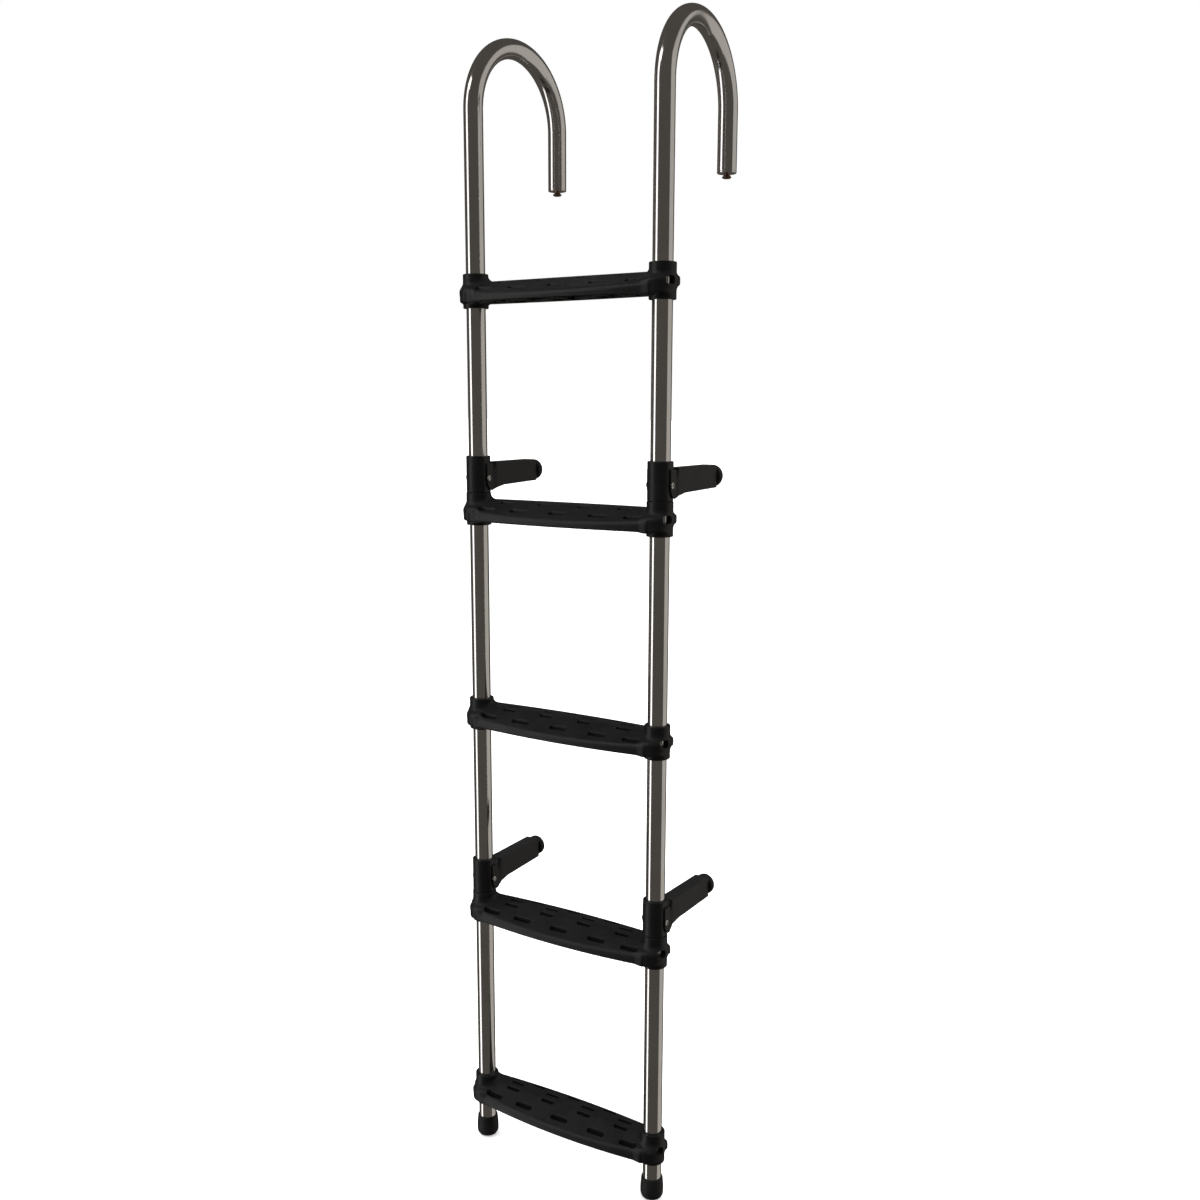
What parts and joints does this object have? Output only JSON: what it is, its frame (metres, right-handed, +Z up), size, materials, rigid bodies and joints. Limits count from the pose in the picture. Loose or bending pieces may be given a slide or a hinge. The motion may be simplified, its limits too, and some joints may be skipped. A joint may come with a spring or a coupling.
{
  "type": "hook-on boat boarding ladder",
  "caption": "Boarding ladder of two polished tubes bent into gunwale hooks, joined by black moulded treads, with hinged stand-off arms, round rubber pads and rubber feet.",
  "frame": {"origin": "Midway between the two hooks, at the height of their inner crowns, where they bear on the gunwale.", "axes": "+X to the ladder's right as seen by the climber, +Y from the climber towards the boat (the hooks' open legs and the stand-off arms are on this side), +Z up along the rails."},
  "size_m": [0.316, 0.2258, 1.5193],
  "materials": {
    "stainless_tube": "polished stainless tube, mirror bright",
    "stainless_fastener": "plain stainless",
    "black_plastic": "black glass-filled plastic, fine satin grain",
    "grey_black_plastic": "dark charcoal plastic, satin",
    "black_rubber": "soft black rubber",
    "bronze_stud": "brownish bronze"
  },
  "bodies": {
    "frame": {"left_rail": "stainless_tube", "right_rail": "stainless_tube", "tread_1": "black_plastic", "tread_2": "black_plastic", "tread_3": "black_plastic", "tread_4": "black_plastic", "tread_5": "black_plastic", "tread_screws": "stainless_fastener", "standoff_sleeve_upper_left": "black_plastic", "pivot_screws_upper_left": "stainless_fastener", "standoff_sleeve_upper_right": "black_plastic", "pivot_screws_upper_right": "stainless_fastener", "standoff_sleeve_lower_left": "black_plastic", "pivot_screws_lower_left": "stainless_fastener", "standoff_sleeve_lower_right": "black_plastic", "pivot_screws_lower_right": "stainless_fastener", "hook_end_plug_left": "stainless_fastener", "hook_end_stud_left": "bronze_stud", "foot_left": "black_rubber", "hook_end_plug_right": "stainless_fastener", "hook_end_stud_right": "bronze_stud", "foot_right": "black_rubber"},
    "arm_upper_left": {"standoff_arm_upper_left": "grey_black_plastic", "bumper_pad_upper_left": "black_rubber"},
    "arm_upper_right": {"standoff_arm_upper_right": "grey_black_plastic", "bumper_pad_upper_right": "black_rubber"},
    "arm_lower_left": {"standoff_arm_lower_left": "grey_black_plastic", "bumper_pad_lower_left": "black_rubber"},
    "arm_lower_right": {"standoff_arm_lower_right": "grey_black_plastic", "bumper_pad_lower_right": "black_rubber"}
  },
  "joints": [
    {"name": "arm_lift_upper_left", "type": "hinge", "parent": "frame", "child": "arm_upper_left", "pos_m": [-0.138, -0.08941, -0.5378], "axis": [0.9996, 0.0279, 0], "range_deg": [0, 24]},
    {"name": "arm_lift_upper_right", "type": "hinge", "parent": "frame", "child": "arm_upper_right", "pos_m": [0.138, -0.08941, -0.5378], "axis": [0.9996, -0.0279, 0], "range_deg": [0, 24]},
    {"name": "arm_lift_lower_left", "type": "hinge", "parent": "frame", "child": "arm_lower_left", "pos_m": [-0.138, -0.08941, -1.0978], "axis": [0.9996, 0.0279, 0], "range_deg": [0, 24]},
    {"name": "arm_lift_lower_right", "type": "hinge", "parent": "frame", "child": "arm_lower_right", "pos_m": [0.138, -0.08941, -1.0978], "axis": [0.9996, -0.0279, 0], "range_deg": [0, 24]}
  ]
}
